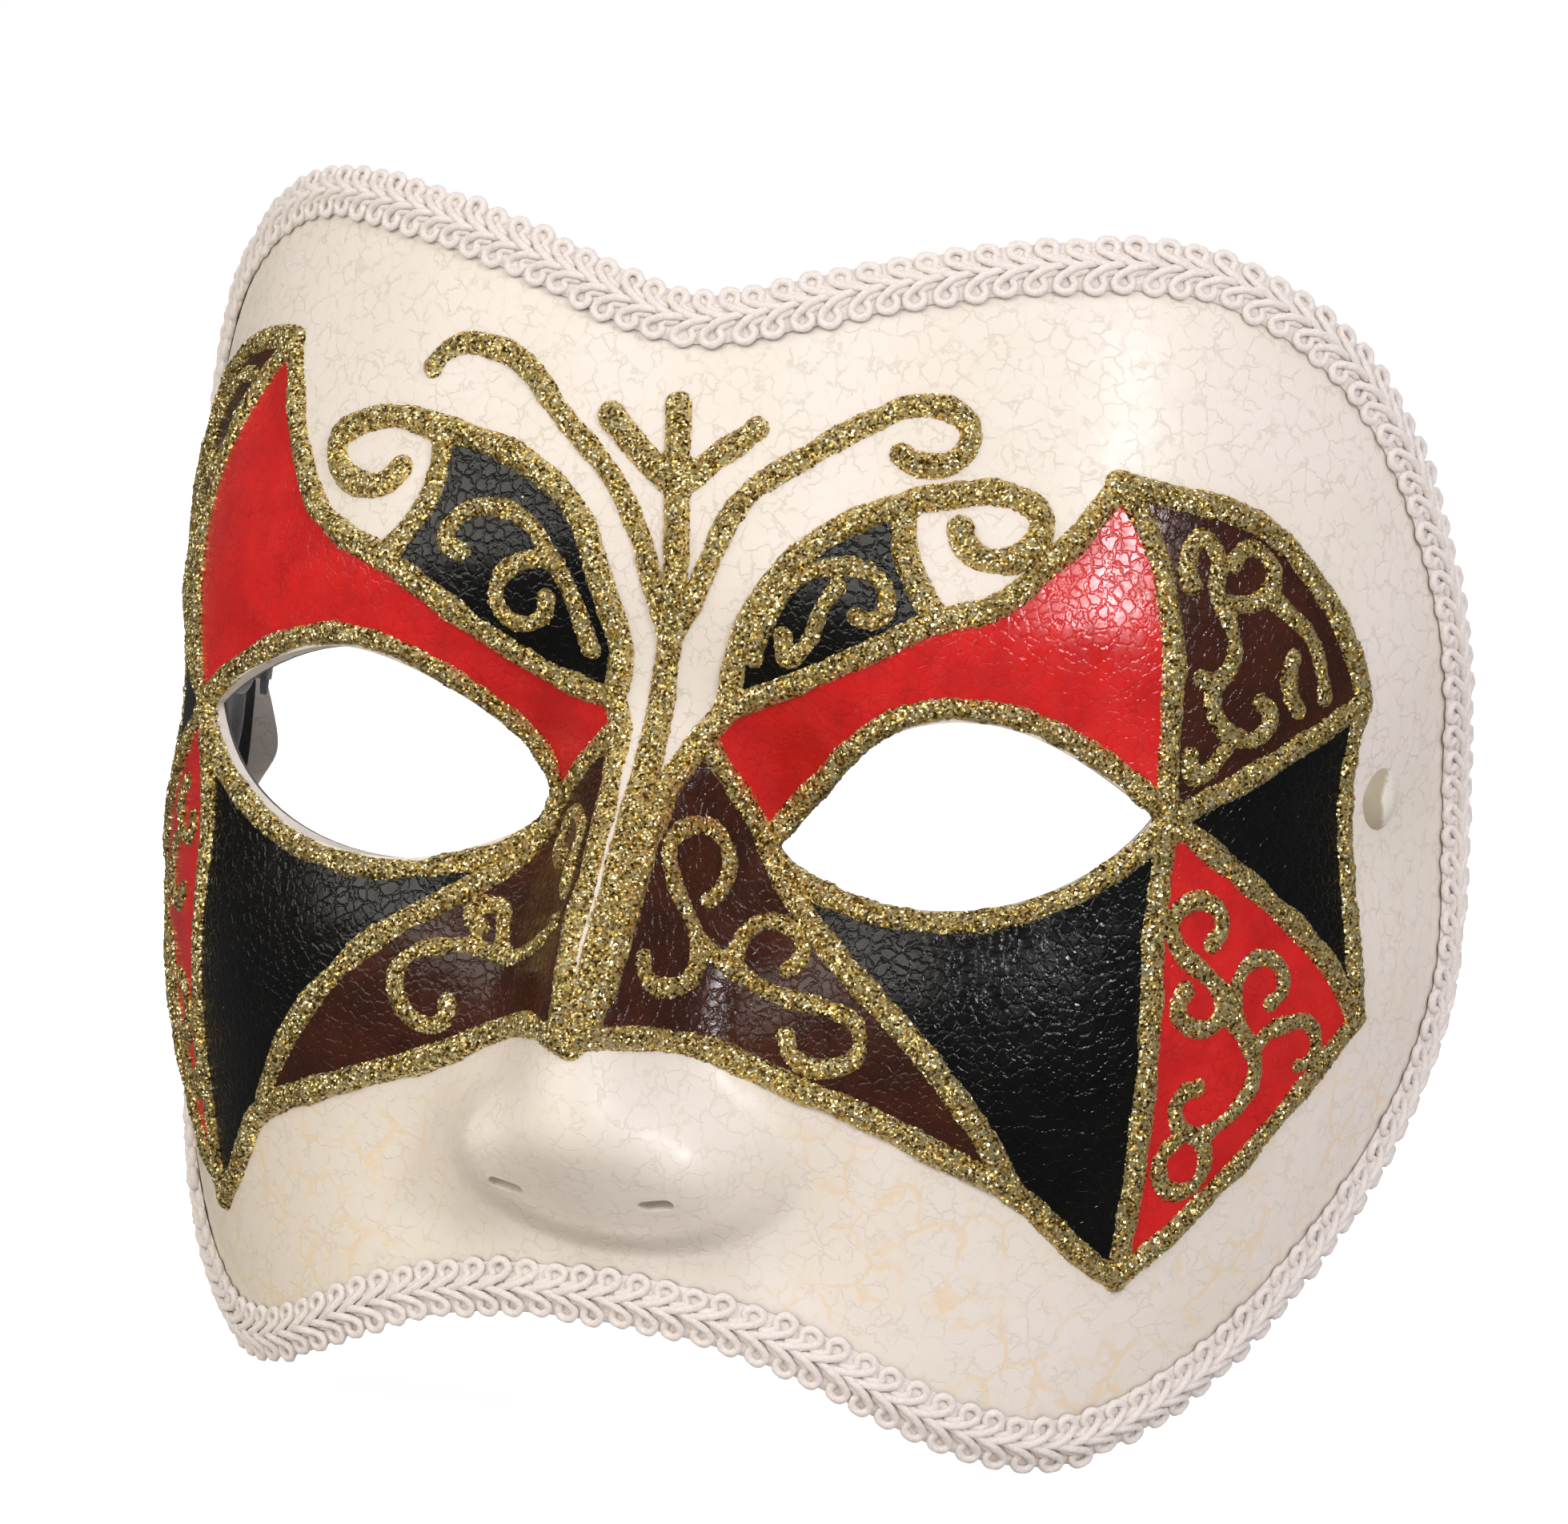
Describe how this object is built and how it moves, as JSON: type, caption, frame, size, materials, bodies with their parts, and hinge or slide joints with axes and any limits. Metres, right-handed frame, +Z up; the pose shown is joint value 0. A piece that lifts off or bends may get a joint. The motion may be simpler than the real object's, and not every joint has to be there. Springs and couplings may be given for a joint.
{
  "type": "venetian masquerade half-mask",
  "caption": "Half-face masquerade mask: moulded crackle shell with painted panels, raised glitter lines, braided edge and an elastic strap that swings on temple rivets.",
  "frame": {"origin": "midway between the two strap pivots at the temples, on their common axis", "axes": "+X to the right of somebody looking at the mask's front, +Y from the face of the mask towards the wearer's head, +Z up"},
  "size_m": [0.16, 0.1198, 0.1331],
  "materials": {
    "ivory_lacquer": "glossy crackle lacquer, fine tan cracks",
    "dark_lining": "matt flock",
    "braid": "satin gimp cord",
    "red_paint": "glossy wrinkled paint",
    "black_paint": "glossy wrinkled paint",
    "brown_paint": "glossy wrinkled paint",
    "gold_glitter": "coarse metallic glitter in clear glue",
    "rivet_ivory": "painted domed head",
    "washer_steel": "plain steel",
    "elastic": "ribbed flat elastic"
  },
  "bodies": {
    "mask": {"antenna_left": "gold_glitter", "antenna_right": "gold_glitter", "black_brow_left": "black_paint", "black_brow_right": "black_paint", "black_cheek_left": "black_paint", "black_cheek_right": "black_paint", "black_temple_left": "black_paint", "black_temple_right": "black_paint", "brow_curl_left": "gold_glitter", "brow_curl_right": "gold_glitter", "brow_scrolls_left": "gold_glitter", "brow_scrolls_right": "gold_glitter", "brown_nose_left": "brown_paint", "brown_nose_right": "brown_paint", "brown_temple_left": "brown_paint", "brown_temple_right": "brown_paint", "centre_stem": "gold_glitter", "cheek_scrolls_left": "gold_glitter", "cheek_scrolls_right": "gold_glitter", "edge_braid": "braid", "eye_rim_left": "gold_glitter", "eye_rim_right": "gold_glitter", "inner_lining": "dark_lining", "mask_shell": "ivory_lacquer", "nose_scrolls_left": "gold_glitter", "nose_scrolls_right": "gold_glitter", "red_cheek_left": "red_paint", "red_cheek_right": "red_paint", "red_lid_left": "red_paint", "red_lid_right": "red_paint", "rivet_left": "rivet_ivory", "rivet_right": "rivet_ivory", "rivet_washer_left": "washer_steel", "rivet_washer_right": "washer_steel", "temple_scrolls_left": "gold_glitter", "temple_scrolls_right": "gold_glitter", "wing_border_left": "gold_glitter", "wing_border_right": "gold_glitter", "wing_veins_left": "gold_glitter", "wing_veins_right": "gold_glitter"},
    "strap": {"elastic_strap": "elastic"}
  },
  "joints": [
    {"name": "strap_swing", "type": "hinge", "parent": "mask", "child": "strap", "pos_m": [0, 0, 0], "axis": [1, 0, 0], "range_deg": [-116, 36]}
  ]
}
